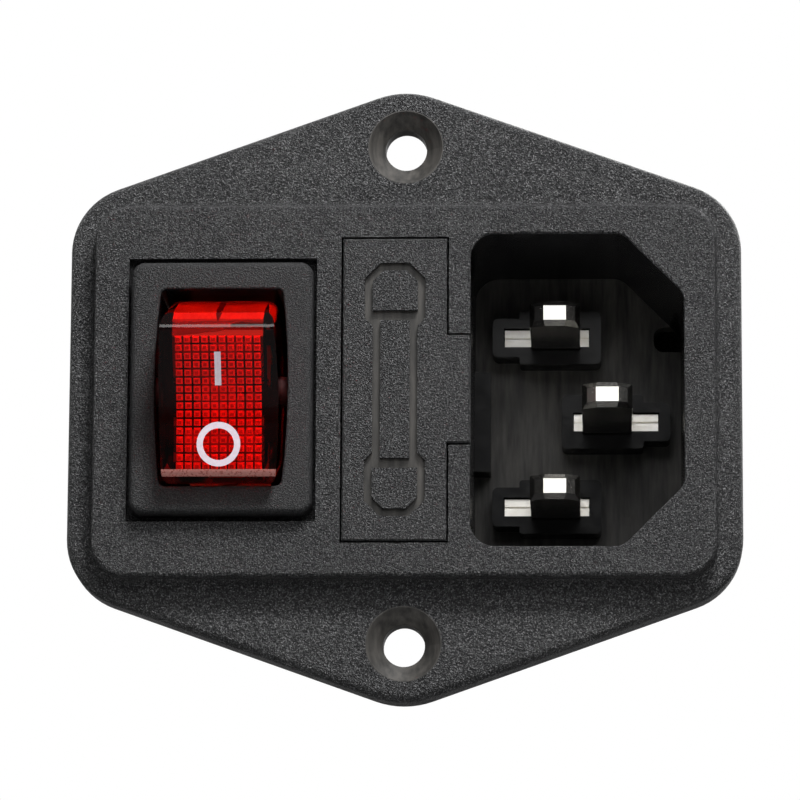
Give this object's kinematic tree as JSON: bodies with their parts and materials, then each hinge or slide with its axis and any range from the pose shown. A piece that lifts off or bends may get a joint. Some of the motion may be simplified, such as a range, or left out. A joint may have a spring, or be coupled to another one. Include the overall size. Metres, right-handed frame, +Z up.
{
  "type": "power entry module",
  "caption": "Black screw-flange power entry module with a three-pole appliance inlet, a pull-out fuse drawer and a lit red rocker switch.",
  "frame": {"origin": "middle between the two screw holes, on the flange's rear face", "axes": "+X to the right seen from the front, +Y out of the flange's rear face into the panel, +Z up; the inlet and rocker face -Y"},
  "size_m": [0.0534, 0.0397, 0.0492],
  "materials": {
    "housing_plastic": "fine grained black moulding",
    "switch_plastic": "finely etched black moulding",
    "rocker_plastic": "clear red gloss",
    "plunger_plastic": "natural white, smooth",
    "blade_metal": "bright nickel plate over brass",
    "terminal_brass": "tinned brass sheet",
    "spring_bronze": "rolled bronze sheet",
    "spring_steel": "drawn wire",
    "contact_silver": "dull silver",
    "fuse_cap": "nickel-plated brass",
    "fuse_wire": "drawn wire",
    "clear_glass": "clear tube",
    "lamp_glass": "clear bulb",
    "resistor_body": "painted ceramic",
    "lead_wire": "tinned wire"
  },
  "bodies": {
    "module": {"housing": "housing_plastic", "rear_cover": "housing_plastic", "line_blade": "blade_metal", "neutral_blade": "blade_metal", "earth_blade": "blade_metal", "upper_fuse_contact": "spring_bronze", "lower_fuse_contact": "spring_bronze", "line_link": "blade_metal", "switch_frame": "switch_plastic", "common_terminal": "terminal_brass", "load_terminal": "terminal_brass", "lamp_terminal": "terminal_brass", "fixed_rivet": "contact_silver", "upper_lamp_spring": "spring_steel", "lower_lamp_spring": "spring_steel"},
    "rocker_set": {"rocker": "rocker_plastic", "plunger": "plunger_plastic", "plunger_spring": "spring_steel", "neon_lamp": "lamp_glass", "lamp_resistor": "resistor_body", "lamp_lead": "lead_wire", "resistor_lead": "lead_wire"},
    "seesaw": {"moving_contact": "terminal_brass", "moving_rivet": "contact_silver"},
    "drawer_set": {"fuse_drawer": "housing_plastic", "fuse_glass": "clear_glass", "fuse_upper_cap": "fuse_cap", "fuse_lower_cap": "fuse_cap", "fuse_wire": "fuse_wire", "spare_fuse_glass": "clear_glass", "spare_fuse_upper_cap": "fuse_cap", "spare_fuse_lower_cap": "fuse_cap", "spare_fuse_wire": "fuse_wire"}
  },
  "joints": [
    {"name": "rocker_tilt", "type": "hinge", "parent": "module", "child": "rocker_set", "pos_m": [-0.01435, -0.0037, 0], "axis": [1, 0, 0], "range_deg": [-36, 0], "deforming": ["upper_lamp_spring", "lower_lamp_spring"]},
    {"name": "contact_swing", "type": "hinge", "parent": "module", "child": "seesaw", "pos_m": [-0.01435, 0.00482, 0], "axis": [1, 0, 0], "range_deg": [0, 18]},
    {"name": "drawer_slide", "type": "slide", "parent": "module", "child": "drawer_set", "axis": [0, -1, 0], "range_m": [0, 0.016]}
  ],
  "couplings": [
    {"joint": "contact_swing", "follows": "rocker_tilt", "ratio": -0.5}
  ]
}
